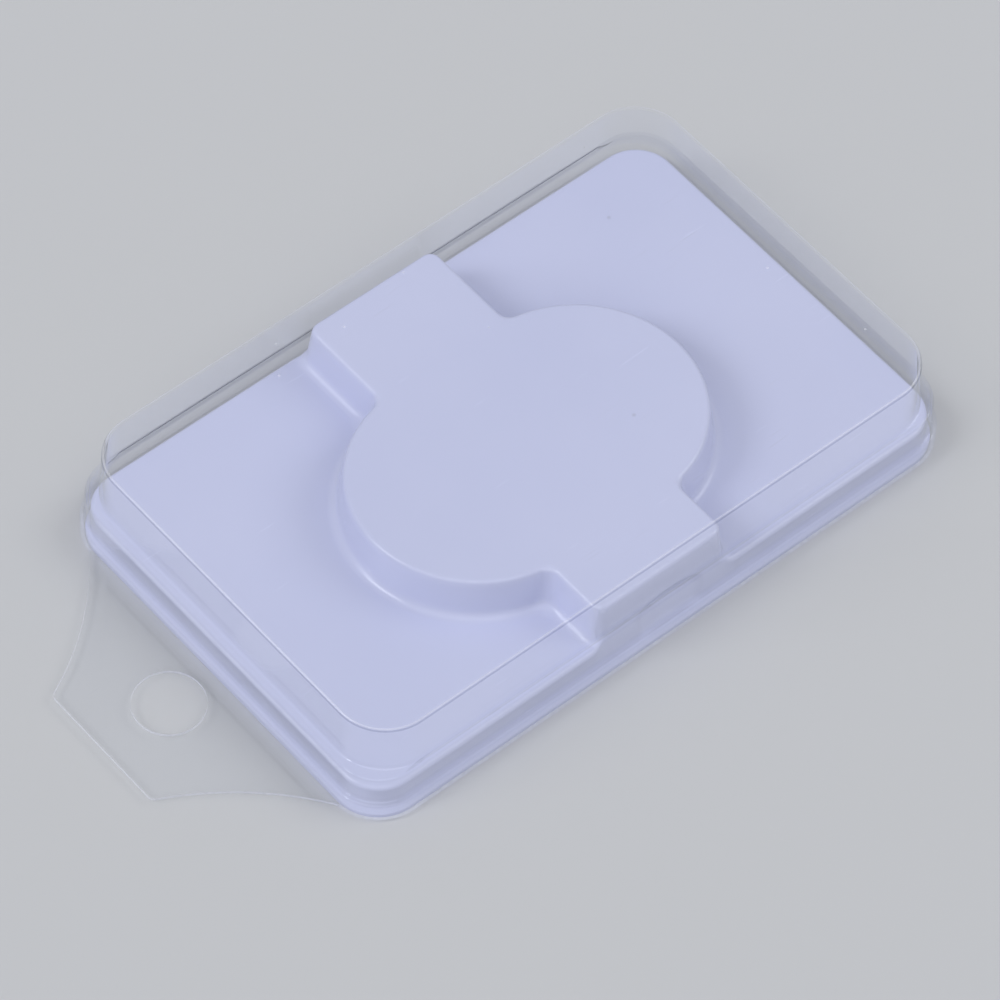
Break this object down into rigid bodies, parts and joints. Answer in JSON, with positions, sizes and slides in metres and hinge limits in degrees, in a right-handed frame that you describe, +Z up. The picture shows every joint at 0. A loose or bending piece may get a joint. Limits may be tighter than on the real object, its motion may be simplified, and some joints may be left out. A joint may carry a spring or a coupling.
{
  "type": "plastic clamshell pack",
  "caption": "Clear stepped plastic cover with a flared hang tab over a white formed tray with a raised oval and bar platform.",
  "frame": {"origin": "middle of the box around cover, tab and tray, on the table plane under the tray's rim", "axes": "+X along the pack's length away from the hang tab, +Y across it, +Z up out of the tray"},
  "size_m": [0.0962, 0.052, 0.0133],
  "materials": {
    "cover": "clear gloss film",
    "tray": "smooth white sheet"
  },
  "bodies": {
    "tray": {"tray": "tray"},
    "cover": {"cover": "cover"}
  },
  "joints": [
    {"name": "cover_lift", "type": "slide", "parent": "tray", "child": "cover", "axis": [0, 0, 1], "range_m": [0, 0.04]}
  ]
}
